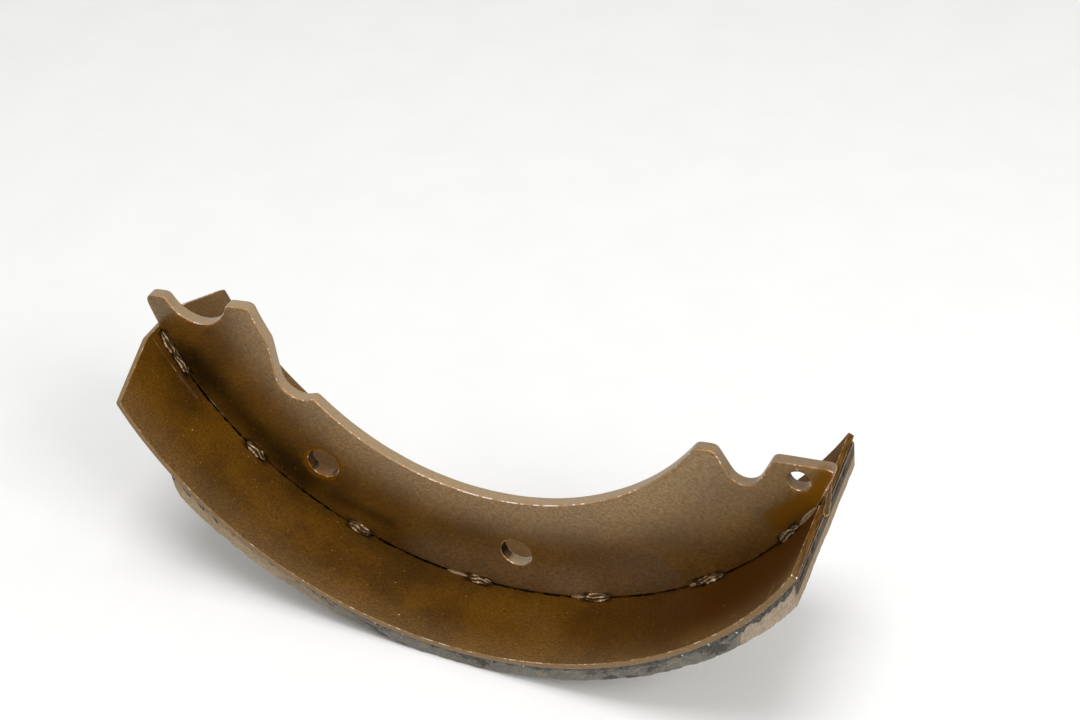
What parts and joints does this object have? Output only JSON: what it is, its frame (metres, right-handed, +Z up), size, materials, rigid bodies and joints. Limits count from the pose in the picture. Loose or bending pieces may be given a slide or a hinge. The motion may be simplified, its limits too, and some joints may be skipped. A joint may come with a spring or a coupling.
{
  "type": "brake shoe",
  "caption": "Curved drum brake shoe: steel rim with a welded upright web and a bonded friction lining; the web has a round seat at the heel end and a notched tab at the toe end.",
  "frame": {"origin": "the crown of the friction face, where the shoe touches the ground, straight below the drum axis and midway across the width; the drum axis is the line x = 0, z = 0.1 m", "axes": "+X towards the toe end with the notched tab, +Y along the drum axis, +Z up from the friction face to the drum axis"},
  "size_m": [0.1789, 0.0512, 0.0794],
  "materials": {
    "brown_lacquer": "satin",
    "weld_metal": "satin",
    "adhesive": "matte",
    "friction_compound": "matte"
  },
  "bodies": {
    "root": {"web": "brown_lacquer", "rim": "brown_lacquer", "weld_beads": "weld_metal", "bond_line": "adhesive", "friction_lining": "friction_compound"}
  },
  "joints": []
}
